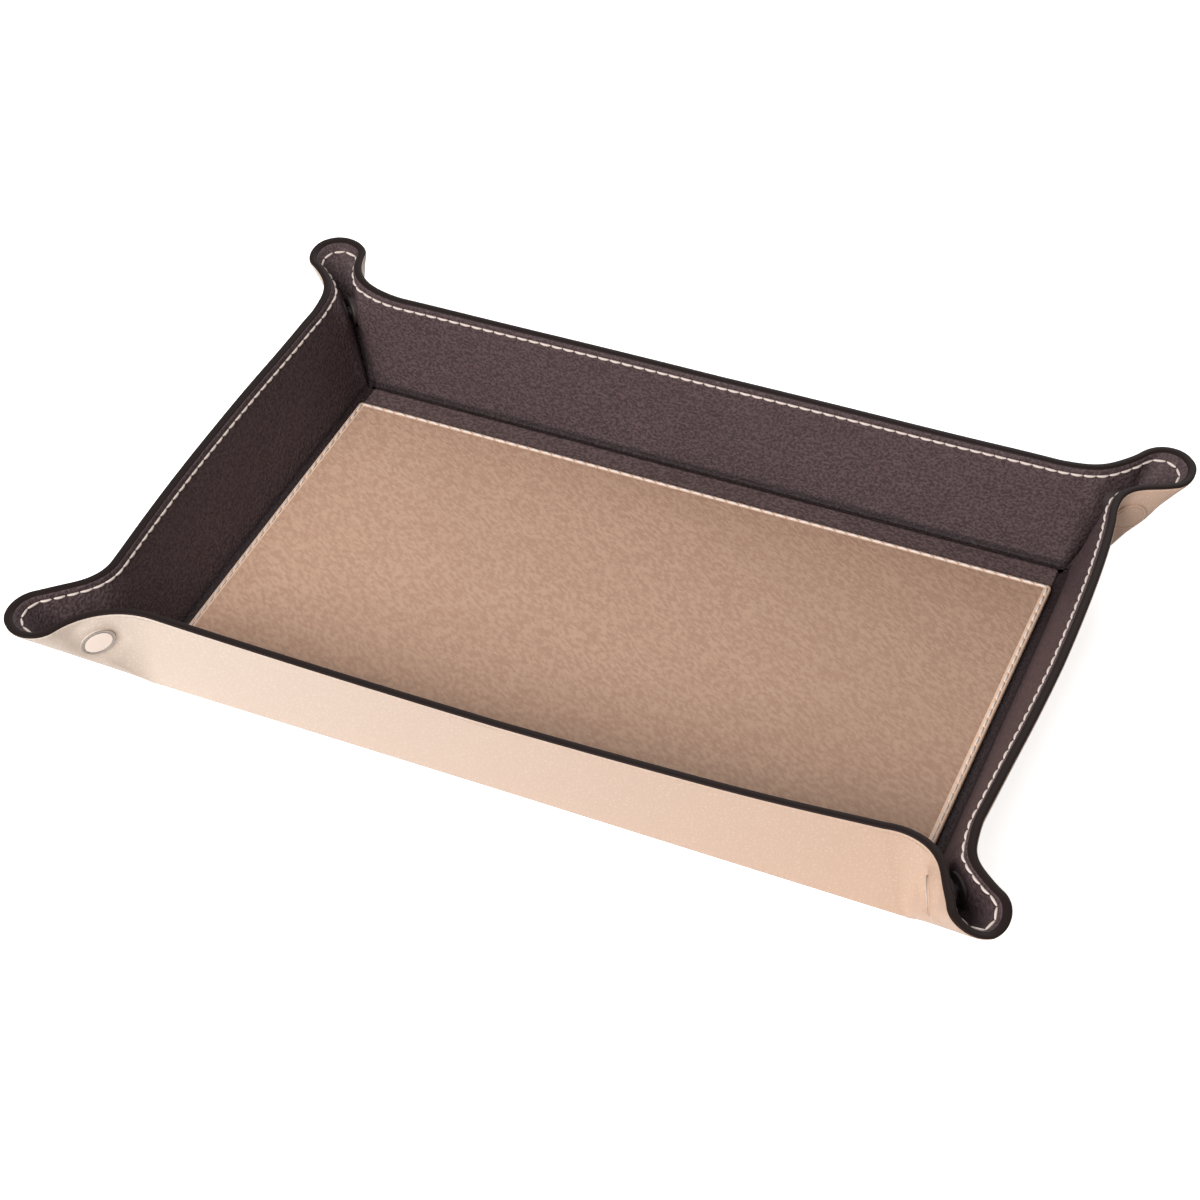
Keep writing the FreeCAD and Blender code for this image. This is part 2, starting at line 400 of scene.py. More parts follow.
class Finishes:
    """Every material of the tray, each made once."""

    def __init__(self) -> None:
        """Builds the materials."""
        # Pebbled leather with a low grain: pale and matt, almost smooth to the eye
        self.outer = Leather(
            "Pebbled_Leather_Peach",
            face="#CABBAF",
            furrow="#C5B4A6",
            cloud="#CFC1B6",
            grain=1.3 * MM,
            relief=0.03 * MM,
            # Painted shade: darker and warmer towards the right end, for the light's falloff
            painted_falloff_tint="#EFDCD0",
        ).build()
        # Pebbled leather, dyed dark: a mottle of small specks, with painted shade darkening the creases and
        # folds
        self.lining = Leather(
            "Pebbled_Leather_Umber",
            face="#524244",
            furrow="#3F3233",
            cloud="#5D4C4E",
            grain=0.9 * MM,
            relief=0.18 * MM,
            kind=Grain.MOTTLE,
            # Painted shade in the creases and folds
            painted_shade_strength=0.75,
        ).build()
        # The lining's leather as it lies on the floor: a little lighter as painted light on the upward face,
        # and flatter
        self.floor = Leather(
            "Pebbled_Leather_Umber_Painted_Light",
            face="#615050",
            furrow="#4E3F3F",
            cloud="#6C5A58",
            grain=1.1 * MM,
            relief=0.12 * MM,
            kind=Grain.MOTTLE,
        ).build()
        # Pebbled leather, its grain drawn out slantwise: warm, soft and cloudy
        self.inlay = Leather(
            "Pebbled_Leather_Taupe",
            face="#C19D85",
            furrow="#B5907A",
            cloud="#CBA78F",
            grain=1.0 * MM,
            relief=0.06 * MM,
            kind=Grain.MOTTLE,
            # Painted shade: darker towards the right end, for the light's falloff
            painted_falloff_tint="#E0E0E0",
            stretch=(1.9, 1.0, 1.0),
            stretch_turn=math.radians(-35.0),
        ).build()
        # Edge paint: nearly black and dull, with slow waves along it
        self.edge = Plain("Edge_Paint_Dark", "#1E1513", 0.5, shine=0.08, uneven_size=2.5 * MM).build()
        # A skived leather edge: pale and matt, its raw fibres drawn coarse so that they show
        self.cut_edge = Plain("Skived_Edge_Pale", "#E2BEA3", 0.6, uneven_size=0.6 * MM).build()
        # Waxed thread: dull cream, its fibres drawn as coarse bumps so that they show
        self.thread = Plain(
            "Waxed_Thread_Cream", "#D6C7BE", 0.6, uneven_size=0.4 * MM, relief=0.06 * MM
        ).build()
        # Satin nickel plate: a soft grey gleam, its grit drawn coarse so that it shows
        self.metal = Plain(
            "Nickel_Satin", "#8C847E", 0.5, metal=1.0, uneven_size=0.8 * MM, relief=0.004 * MM
        ).build()
        # Painted shade on the hidden socket and stud: smooth and dark umber, lost against the lining
        self.hidden_stud_shade = Plain("Painted_Shade_Stud_Umber", "#2C2221", 0.6, relief=0.004 * MM).build()
        # Enamel: smooth and pale, with a slight gloss
        self.enamel = Plain("Enamel_Peach", "#E8D6CA", 0.4, uneven_size=3.0 * MM, relief=0.01 * MM).build()
        # Fibre board: dark, matt and a little furry
        self.board = Plain("Fibre_Board", "#453B38", 0.8, uneven_size=0.7 * MM, relief=0.05 * MM).build()


def add_piece(
    name: str, vertices: np.ndarray, faces: list, material: Material, sharp_angle: float = 50.0
) -> Piece:
    """Adds a smooth mesh object with its faces turned outwards.

    Args:
        name: The piece's name.
        vertices: Its corners, one row each, in metres.
        faces: Corner numbers of each face.
        material: Its material.
        sharp_angle: Bend in degrees above which an edge stays sharp.

    Returns:
        The new object.
    """
    mesh = bpy.data.meshes.new(name)
    mesh.from_pydata(vertices.reshape(-1, 3).tolist(), [], faces)
    work = bmesh.new()
    work.from_mesh(mesh)
    bmesh.ops.recalc_face_normals(work, faces=work.faces)
    work.to_mesh(mesh)
    work.free()
    mesh.polygons.foreach_set("use_smooth", [True] * len(mesh.polygons))
    mesh.set_sharp_from_angle(angle=math.radians(sharp_angle))
    mesh.materials.append(material)
    piece = bpy.data.objects.new(name, mesh)
    bpy.context.scene.collection.objects.link(piece)
    log.info("%s: %d faces", name, len(mesh.polygons))
    return piece


def refinish(node: str, material: Material) -> None:
    """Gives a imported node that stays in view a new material."""
    materials = frame["nodes"][node].data.materials
    materials.clear()
    materials.append(material)


def ease(shares: np.ndarray) -> np.ndarray:
    """A smooth step from nought at share nought to one at share one."""
    clipped = np.clip(shares, 0.0, 1.0)
    return clipped * clipped * (3.0 - 2.0 * clipped)


def hump(shares: np.ndarray) -> np.ndarray:
    """A smooth hump: nought at shares nought and one, one halfway between."""
    return 4.0 * shares * (1.0 - shares)


def dip(distances: np.ndarray, width: float) -> np.ndarray:
    """A smooth dip: one at no distance, nearly nought two widths away."""
    return np.exp(-((distances / width) ** 2))


def unit(vectors: np.ndarray) -> np.ndarray:
    """Vectors that point the same ways, each with a length of one."""
    return vectors / np.linalg.norm(vectors, axis=-1, keepdims=True)


def bearing(start: np.ndarray, end: np.ndarray) -> float:
    """The angle at which one point in plan sees another."""
    return math.atan2(end[1] - start[1], end[0] - start[0])


def ring_faces(rings: int, points: int) -> list:
    """Faces of a closed skin over rings of points, with both end rings filled.

    Args:
        rings: Number of rings.
        points: Points on each ring.

    Returns:
        Corner numbers of each face, the two filled ends last.
    """
    faces = []
    for ring in range(rings - 1):
        for point in range(points):
            after = (point + 1) % points
            low, high = ring * points, (ring + 1) * points
            faces.append((low + point, low + after, high + after, high + point))
    faces.append(tuple(range(points)))
    faces.append(tuple((rings - 1) * points + point for point in range(points)))
    return faces


def rounded_edge(inset: float, top: float, radius: float, rings: int = 5) -> list[tuple[float, float]]:
    """A plate's rounded top edge, from its side up.

    Args:
        inset: Inset of the plate's side.
        top: Height of its top.
        radius: Radius of the edge.
        rings: Rings on the edge.

    Returns:
        Inset and height of each ring.
    """
    turns = np.linspace(0.0, QUARTER_TURN, rings)
    return [(inset + radius * (1 - math.cos(turn)), top - radius * (1 - math.sin(turn))) for turn in turns]


def rounded_rectangle(
    half_length: float, half_width: float, radius: float, turn_points: int = 8
) -> np.ndarray:
    """Points round a rectangle with round corners.

    Args:
        half_length: Half its size along X.
        half_width: Half its size along Y.
        radius: Corner radius.
        turn_points: Points on each corner.

    Returns:
        One row per point.
    """
    points = []
    for corner, (x_sign, y_sign) in enumerate(((1, 1), (-1, 1), (-1, -1), (1, -1))):
        turns = corner * QUARTER_TURN + np.linspace(0.0, QUARTER_TURN, turn_points)
        middle = np.array([x_sign * (half_length - radius), y_sign * (half_width - radius)])
        points.append(middle + radius * np.stack([np.cos(turns), np.sin(turns)], axis=-1))
    return np.concatenate(points)


@dataclass(frozen=True)
class Arc:
    """An arc in plan, whose inset goes towards the inside of the tray."""

    middle: np.ndarray
    radius: float
    start: float
    end: float
    hollow: bool = False

    def points(self, shares: np.ndarray, insets: np.ndarray) -> np.ndarray:
        """Lays points along the arc.

        Args:
            shares: Shares of the arc.
            insets: How far in the points lie.

        Returns:
            An array of points in plan.
        """
        turn = self.start + (self.end - self.start) * shares
        radius = self.radius + insets if self.hollow else self.radius - insets
        return self.middle + np.stack([radius * np.cos(turn), radius * np.sin(turn)], axis=-1)


@dataclass(frozen=True)
class Straight:
    """The straight foot of half a wall, from its middle out."""

    length: float
    offset: float

    def points(self, shares: np.ndarray, insets: np.ndarray) -> np.ndarray:
        """Points at shares of the line, moved in by insets."""
        along, out = np.broadcast_arrays(self.length * shares, self.offset - insets)
        return np.stack([along, out], axis=-1)


@dataclass(frozen=True)
class SheetSizes:
    """Sizes of the folded sheet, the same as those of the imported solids."""

    half_length: float
    half_width: float
    rim_height: float
    base_corner_radius: float = 6.0 * MM
    long_lean_out: float = 9.0 * MM
    end_lean_out: float = 14.3 * MM
    long_bow_radius: float = 3400.0 * MM
    end_bow_radius: float = 850.0 * MM
    flare_radius: float = 24.0 * MM
    ear_radius: float = 8.7 * MM
    ear_reach: float = 27.4 * MM
    neck_foot_angle: float = math.radians(72.0)
    outer_thickness: float = 1.6 * MM
    lining_thickness: float = 1.6 * MM
    bond_gap: float = 0.05 * MM
    floor_height: float = 5.2 * MM

    @classmethod
    def from_frame(cls) -> "SheetSizes":
        """Reads the creases from the wall joints, and the rim from a wall's box.

        Returns:
            The sizes.
        """
        pivots = {joint["name"]: joint["pos_m"] for joint in frame["joints"]}
        rim_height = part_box("back_wall_outer")[1].z
        return cls(pivots["right_wall_fold"][0], pivots["back_wall_fold"][1], rim_height)

    @property
    def thickness(self) -> float:
        """Thickness of the two leathers together."""
        return self.outer_thickness + self.lining_thickness


@dataclass(frozen=True)
class Corner:
    """One corner of the tray."""

    depth: str
    width: str

    @property
    def name(self) -> str:
        """The corner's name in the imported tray."""
        return f"{self.depth}_{self.width}"

    @property
    def signs(self) -> tuple[float, float]:
        """Which way the corner lies along X and Y."""
        return (1.0 if self.width == "right" else -1.0, 1.0 if self.depth == "back" else -1.0)


@dataclass(frozen=True)
class Shaping:
    """How far in the hand-formed rim lies from its even shape, from a wall's middle to an ear's tip.

    The lifts say how far up it lies, the feet and the waist how far in the leather lies lower down. Both
    halves of a wall share its middle, and both halves of an ear share its tip.
    """

    wall_middle: float = 0.0
    wall_far: float = 0.0
    wall_end: float = 0.0
    flare_near: float = 0.0
    flare_middle: float = 0.0
    flare_far: float = 0.0
    neck: float = 0.0
    ball: float = 0.0
    tip: float = 0.0
    neck_lift: float = 0.0
    tip_lift: float = 0.0
    foot_middle: float = 0.0
    foot_end: float = 0.0
    foot_tip: float = 0.0
    waist: float = 0.0
    stud_lean: float = 0.0
    stud_turn: float = 0.0

    # Where the named places lie, counted in stretches from the wall's middle
    places: ClassVar[dict[str, float]] = {
        "wall_middle": 0.0,
        "wall_far": 0.7,
        "wall_end": 1.0,
        "flare_near": 1.25,
        "flare_middle": 1.5,
        "flare_far": 1.75,
        "neck": 2.0,
        "ball": 2.5,
        "tip": 3.0,
    }
    smoothing: ClassVar[float] = 0.15
    smoothing_steps: ClassVar[int] = 9

    def insets(self, stretch: Stretch, shares: np.ndarray) -> np.ndarray:
        """How far in the rim lies, smoothed over the named places.

        Args:
            stretch: The stretch of the rim.
            shares: Shares along the stretch.

        Returns:
            The insets at those shares.
        """
        knots = list(self.places.values())
        sizes = [getattr(self, name) for name in self.places]
        spots = list(Stretch).index(stretch) + shares
        window = np.clip(np.minimum(spots, knots[-1] - spots), 0.0, self.smoothing)
        shifts = np.linspace(-1.0, 1.0, self.smoothing_steps)
        return np.mean([np.interp(spots + window * shift, knots, sizes) for shift in shifts], axis=0)

    def lifts(self, stretch: Stretch, shares: np.ndarray) -> np.ndarray:
        """How far up the rim lies.

        Args:
            stretch: The stretch of the rim.
            shares: Shares along the stretch.

        Returns:
            The lifts at those shares.
        """
        if stretch is Stretch.WALL:
            return np.zeros_like(shares)
        if stretch is Stretch.FLARE:
            return self.neck_lift * ease(shares)
        return self.neck_lift + (self.tip_lift - self.neck_lift) * ease(shares)

    def waist_insets(self, stretch: Stretch, shares: np.ndarray) -> np.ndarray:
        """How far in the leather lies halfway up.

        Args:
            stretch: The stretch of the rim.
            shares: Shares along the stretch.

        Returns:
            The insets at those shares.
        """
        if stretch is Stretch.WALL:
            return np.zeros_like(shares)
        return self.waist * (ease(shares) if stretch is Stretch.FLARE else np.ones_like(shares))

    def foot_insets(self, stretch: Stretch, shares: np.ndarray) -> np.ndarray:
        """How far in the foot lies.

        Args:
            stretch: The stretch of the rim.
            shares: Shares along the stretch.

        Returns:
            The insets at those shares.
        """
        if stretch is Stretch.WALL:
            return self.foot_middle + (self.foot_end - self.foot_middle) * shares
        if stretch is Stretch.FLARE:
            return np.full_like(shares, self.foot_end)
        return self.foot_end + (self.foot_tip - self.foot_end) * ease(shares)


@dataclass
class StudSeat:
    """Where a press stud holds half an ear: the leather is pressed flat under the stud's disc."""

    half: "HalfSheet"
    raised: float = 0.2 * MM
    rise: float = 1.2 * MM
    flat_radius: float = 5.6 * MM
    fade: float = 4.0 * MM
    search_steps: int = 200
    side_step: float = 0.05

    def __post_init__(self) -> None:
        """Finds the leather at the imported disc, and the way that it looks there."""
        half, shaping = self.half, self.half.shaping
        side, other = ("cap", "socket") if half.kind is SideKind.LONG else ("post", "stud")
        self.head = f"{half.corner.name}_snap_{side}"
        self.hidden = f"{half.corner.name}_snap_{other}"
        x_sign, y_sign = half.corner.signs
        way = 1.0 if half.kind is SideKind.END else -1.0
        packed_axis = np.array(Vector((way * x_sign, -way * y_sign, 0.0)).normalized())
        low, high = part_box(self.head)
        middle = np.array((low + high) / 2) + self.rise * UP
        shares = np.linspace(0.0, 1.0, self.search_steps)
        row = half.bare(Stretch.FLARE, shares, [0.0], [middle[2]])[:, 0] - middle
        aside = row - np.outer(row @ packed_axis, packed_axis)
        share = shares[int(np.argmin(np.linalg.norm(aside, axis=1)))]
        here, above = half.bare(Stretch.FLARE, [share], [0.0, 0.0], [middle[2], middle[2] + MM])[0]
        beside = half.bare(Stretch.FLARE, [share - self.side_step], [0.0], [middle[2]])[0, 0]
        normal = unit(np.cross(beside - here, above - here))
        normal = normal if normal @ packed_axis > 0.0 else -normal
        turned = np.array(Matrix.Rotation(shaping.stud_turn, 3, "Z")) @ normal
        self.axis = unit(turned - math.tan(shaping.stud_lean) * UP)
        self.seat = here + self.axis * self.raised

    def press(self, points: np.ndarray, insets: np.ndarray, strength: np.ndarray) -> np.ndarray:
        """Moves points of the sheet onto the flat under the disc.

        Args:
            points: Points of the sheet in the tray's frame.
            insets: Distance in from the outer skin.
            strength: One where the leather follows the flat, nought where it keeps its own shape.

        Returns:
            The points, pressed flat near the stud.
        """
        offset = points - self.seat
        along = offset @ self.axis
        aside = offset - along[..., None] * self.axis
        weight = 1.0 - ease((np.linalg.norm(aside, axis=-1) - self.flat_radius) / self.fade)
        return points + (weight * strength * (-insets - along))[..., None] * self.axis


@dataclass
class HalfSheet:
    """Half a wall with the half ear at its end, worked out where the wall runs along X at +Y."""

    sizes: SheetSizes
    kind: SideKind
    corner: Corner
    shaping: Shaping

    def __post_init__(self) -> None:
        """Lays out the curves of the foot and of the rim, and seats the press stud."""
        sizes = self.sizes
        long_side = self.kind is SideKind.LONG
        along = sizes.half_length if long_side else sizes.half_width
        out = sizes.half_width if long_side else sizes.half_length
        lean = sizes.long_lean_out if long_side else sizes.end_lean_out
        bow = sizes.long_bow_radius if long_side else sizes.end_bow_radius
        self.crease_offset = out
        corner = np.array([along, out])
        inner = corner - sizes.base_corner_radius
        self.feet = {
            Stretch.WALL: Straight(inner[0], out),
            Stretch.FLARE: Arc(inner, sizes.base_corner_radius, QUARTER_TURN, sizes.neck_foot_angle),
            Stretch.ROUND: Arc(inner, sizes.base_corner_radius, sizes.neck_foot_angle, EAR_ANGLE),
        }
        ear = corner + sizes.ear_reach * np.array([math.cos(EAR_ANGLE), math.sin(EAR_ANGLE)])
        wall = np.array([0.0, out + lean - bow])
        hollow = sizes.flare_radius
        flare = self.flare_middle(wall, bow + hollow, ear, sizes.ear_radius + hollow)
        wall_end = bearing(wall, flare)
        neck = bearing(ear, flare)
        self.rims = {
            Stretch.WALL: Arc(wall, bow, QUARTER_TURN, wall_end),
            Stretch.FLARE: Arc(flare, hollow, wall_end - HALF_TURN, neck - HALF_TURN, hollow=True),
            Stretch.ROUND: Arc(ear, sizes.ear_radius, neck, EAR_ANGLE),
        }
        self.stud_seat = StudSeat(self)

    @staticmethod
    def flare_middle(
        wall: np.ndarray, wall_reach: float, ear: np.ndarray, ear_reach: float
    ) -> np.ndarray:
        """The middle of the flare, which touches both the wall's bow and the ear's round end.

        Args:
            wall: The middle of the wall's bow.
            wall_reach: How far the flare's middle lies from it.
            ear: The middle of the ear's round end.
            ear_reach: How far the flare's middle lies from it.

        Returns:
            Of the two points that fit, the one beside the wall.
        """
        gap = ear - wall
        length = float(np.hypot(*gap))
        along = (wall_reach**2 - ear_reach**2 + length**2) / (2 * length)
        across = math.sqrt(wall_reach**2 - along**2)
        way = gap / length
        side = np.array([-way[1], way[0]])
        fits = [wall + way * along + side * across * sign for sign in (1, -1)]
        return min(fits, key=lambda point: abs(point[0]))

    @property
    def name(self) -> str:
        """Corner and kind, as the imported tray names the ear's halves."""
        return f"{self.corner.name}_{self.kind.value}"

    @property
    def wall_name(self) -> str:
        """Name of the wall that this half belongs to."""
        return self.corner.depth if self.kind is SideKind.LONG else self.corner.width

    def to_frame(self, local: np.ndarray) -> np.ndarray:
        """Turns points of the half sheet's own frame into the tray's frame."""
        turned = local if self.kind is SideKind.LONG else local[..., [1, 0, 2]]
        return turned * np.array([*self.corner.signs, 1.0])

    def bare(
        self, stretch: Stretch, shares: np.ndarray, insets: np.ndarray, heights: np.ndarray
    ) -> np.ndarray:
        """Points of the sheet before the press studs flatten it, in the tray's frame.

        Args:
            stretch: The stretch of the rim.
            shares: Shares along the stretch, one per column.
            insets: Distance in from the outer skin, one per row.
            heights: Height above the table on the even shape, one per row.

        Returns:
            An array of columns by rows by three.
        """
        shares = np.asarray(shares, float)[:, None]
        heights = np.asarray(heights, float)[None, :]
        levels = heights / self.sizes.rim_height
        insets = np.asarray(insets, float)[None, :] + self.shaping.insets(stretch, shares) * levels
        insets = insets + self.shaping.foot_insets(stretch, shares) * (1.0 - levels)
        insets = insets + self.shaping.waist_insets(stretch, shares) * hump(levels)
        low = self.feet[stretch].points(shares, insets)
        high = self.rims[stretch].points(shares, insets)
        plan = low + (high - low) * levels[..., None]
        lift = np.broadcast_to(heights + self.shaping.lifts(stretch, shares) * levels, plan.shape[:-1])
        return self.to_frame(np.concatenate([plan, lift[..., None]], axis=-1))

    def place(
        self, stretch: Stretch, shares: np.ndarray, insets: np.ndarray, heights: np.ndarray
    ) -> np.ndarray:
        """Points of the sheet in the tray's frame, flattened under the press studs.

        Args:
            stretch: The stretch of the rim.
            shares: Shares along the stretch, one per column.
            insets: Distance in from the outer skin, one per row.
            heights: Height above the table on the even shape, one per row.

        Returns:
            An array of columns by rows by three.
        """
        points = self.bare(stretch, shares, insets, heights)
        if stretch is Stretch.WALL:
            return points
        shares = np.asarray(shares, float)[:, None]
        strength = np.ones_like(shares) if stretch is Stretch.FLARE else 1.0 - ease(shares)
        return self.stud_seat.press(points, np.asarray(insets, float)[None, :], strength)

    def point(self, stretch: Stretch, share: float, inset: float, height: float) -> Vector:
        """One point of the sheet in the tray's frame."""
        return Vector(self.place(stretch, [share], [inset], [height])[0, 0])


@dataclass(frozen=True)
class SheetProfile:
    """Cut through the sheet's edge: how the leathers, the edge paint and the thread sit from foot to rim."""

    sizes: SheetSizes
    crease_radius: float = 1.4 * MM
    skirt: float = 4.0 * MM
    edge_drop: float = 1.4 * MM
    edge_rise: float = 0.5 * MM
    shoulder_inset: float = 0.39 * MM
    bead_inset: float = 0.3 * MM
    bead_depth: float = 0.8 * MM
    bead_power: float = 0.8
    stitch_drop: float = 2.3 * MM
    groove_depth: float = 0.2 * MM
    groove_width: float = 0.55 * MM
    groove_reach: float = 1.1 * MM
    tuck_in: float = 4.0 * MM
    tuck_drop: float = 0.9 * MM
    # Painted shade in the floor crease and ears' folds: how it fades upwards and how dark the folds get
    crease_fade: float = 0.9 * MM
    fold_fade: float = 26.0 * MM
    fold_share: float = 0.75
    rows: int = 22
    groove_rows: int = 9
    turn_rows: int = 6
    bead_rows: int = 13
    flesh_rows: int = 4

    @property
    def stitch_height(self) -> float:
        """Height of the stitch row."""
        return self.sizes.rim_height - self.stitch_drop

    def groove(self, heights: np.ndarray) -> np.ndarray:
        """How far the thread pulls the leather in at these heights."""
        return self.groove_depth * dip(heights - self.stitch_height, self.groove_width)

    def wall_heights(self, low: float) -> np.ndarray:
        """Heights up a leather's face, closer together at the stitch row.

        Args:
            low: The lowest height.

        Returns:
            The heights, from the lowest up.
        """
        top = self.sizes.rim_height - self.edge_drop
        near = self.stitch_height + self.groove_reach * np.linspace(-1.0, 1.0, self.groove_rows)
        plain = np.linspace(low, near[0] - self.groove_width, self.rows)
        return np.concatenate([plain, near, [top]])

    def shoulder(self) -> tuple[np.ndarray, np.ndarray]:
        """Rounds a leather's top edge.

        Returns:
            Insets and heights.
        """
        turn = np.linspace(0.0, QUARTER_TURN, self.turn_rows)[1:]
        top = self.sizes.rim_height - self.edge_drop
        heights = top + (self.edge_drop - self.edge_rise) * np.sin(turn)
        return self.shoulder_inset * (1.0 - np.cos(turn)), heights

    def outer(self) -> tuple[np.ndarray, np.ndarray]:
        """Goes round the outer leather, from its foot up the face and down the flesh side.

        Returns:
            Insets and heights.
        """
        turn = np.linspace(0.0, QUARTER_TURN, self.turn_rows)
        crease_in = self.crease_radius * (1.0 - np.sin(turn))
        crease_up = self.crease_radius * (1.0 - np.cos(turn))
        face = self.wall_heights(self.crease_radius)[1:]
        thick = self.sizes.outer_thickness
        back = thick - self.sizes.bond_gap / 2
        bow_in, bow_up = self.shoulder()
        top = bow_up[-1]
        insets = [[self.skirt], crease_in, np.zeros_like(face), bow_in, [back, back, back, self.skirt]]
        heights = [[0.0], crease_up, face, bow_up, [top, top / 2, thick + self.crease_radius / 2, thick]]
        return np.concatenate(insets), np.concatenate(heights)

    def lining(self) -> tuple[np.ndarray, np.ndarray]:
        """Goes round the lining, whose foot is tucked under the floor's edge.

        Returns:
            Insets and heights.
        """
        front = self.sizes.thickness
        back = self.sizes.outer_thickness + self.sizes.bond_gap / 2
        floor = self.sizes.floor_height
        bow_in, bow_up = self.shoulder()
        top = bow_up[-1]
        face = self.wall_heights(floor)
        low = floor - self.tuck_drop
        insets = [[front + self.tuck_in, front + self.tuck_drop / 2], front - self.groove(face)]
        insets += [front - bow_in, [back, back, back]]
        heights = [[low, low], face, bow_up, [top, top / 2, low - self.tuck_drop]]
        return np.concatenate(insets), np.concatenate(heights)

    def edge(self) -> tuple[np.ndarray, np.ndarray]:
        """Goes over the bead of edge paint, a half round that is a little boxy.

        Returns:
            Insets and heights.
        """
        turn = np.linspace(0.0, HALF_TURN, self.bead_rows)
        middle = self.sizes.thickness / 2
        across = np.sign(np.cos(turn)) * np.abs(np.cos(turn)) ** self.bead_power
        fall = 1.0 - np.sin(turn) ** self.bead_power
        return middle - (middle - self.bead_inset) * across, self.sizes.rim_height - self.bead_depth * fall

    def painted_shade_marks(self, stretch: Stretch, shares: np.ndarray, heights: np.ndarray) -> np.ndarray:
        """How dark the painted shade is in the crease at the floor and down in the ears' folds.

        Args:
            stretch: The stretch of the rim.
            shares: Shares along the stretch, one per column.
            heights: Height above the table, one per row.

        Returns:
            An array of columns by rows, from nought to one.
        """
        above = heights - self.sizes.floor_height
        folded = {
            Stretch.WALL: np.zeros_like(shares),
            Stretch.FLARE: ease(shares),
            Stretch.ROUND: np.ones_like(shares),
        }[stretch]
        fold = self.fold_share * np.outer(folded, 1.0 - ease(above / self.fold_fade))
        return np.maximum(fold, 1.0 - ease(above / self.crease_fade))


@dataclass(frozen=True)
class Thread:
    """Stitches: short lengths of waxed thread that bow out of the leather and dive back in at both ends."""

    pitch: float = 4.0 * MM
    length: float = 3.8 * MM
    width: float = 0.85 * MM
    bow: float = 0.3 * MM
    sink: float = 0.15 * MM
    end_turn: float = 0.12
    end_power: float = 0.6
    rings: int = 7
    sides: int = 8

    @property
    def ring_turns(self) -> np.ndarray:
        """Where the rings of a stitch stand, as turns of a half circle from end to end."""
        return np.linspace(self.end_turn, HALF_TURN - self.end_turn, self.rings)

    @property
    def ring_shares(self) -> np.ndarray:
        """Where the rings of a stitch stand along it, from minus one to one."""
        return -np.cos(self.ring_turns)

    def build(self, name: str, paths: np.ndarray, normals: np.ndarray, material: Material) -> Piece:
        """Makes a row of stitches as one piece.

        Args:
            name: The piece's name.
            paths: Points on the leather under each ring of each stitch.
            normals: Unit normal of the leather at each of them.
            material: The thread's material.

        Returns:
            The row of stitches.
        """
        around = np.linspace(0.0, FULL_TURN, self.sides, endpoint=False)
        girth = np.sin(self.ring_turns)[:, None] ** self.end_power * self.width / 2
        across = girth * np.cos(around)
        lift = girth * np.sin(around) + (self.bow * (1 - self.ring_shares**2) - self.sink)[:, None]
        sides = np.cross(unit(np.gradient(paths, axis=1)), normals)
        shape = (
            paths[:, :, None, :]
            + across[None, :, :, None] * sides[:, :, None, :]
            + lift[None, :, :, None] * normals[:, :, None, :]
        )
        one = ring_faces(self.rings, self.sides)
        starts = range(0, len(paths) * self.rings * self.sides, self.rings * self.sides)
        faces = [tuple(start + corner for corner in face) for start in starts for face in one]
        return add_piece(name, shape, faces, material)


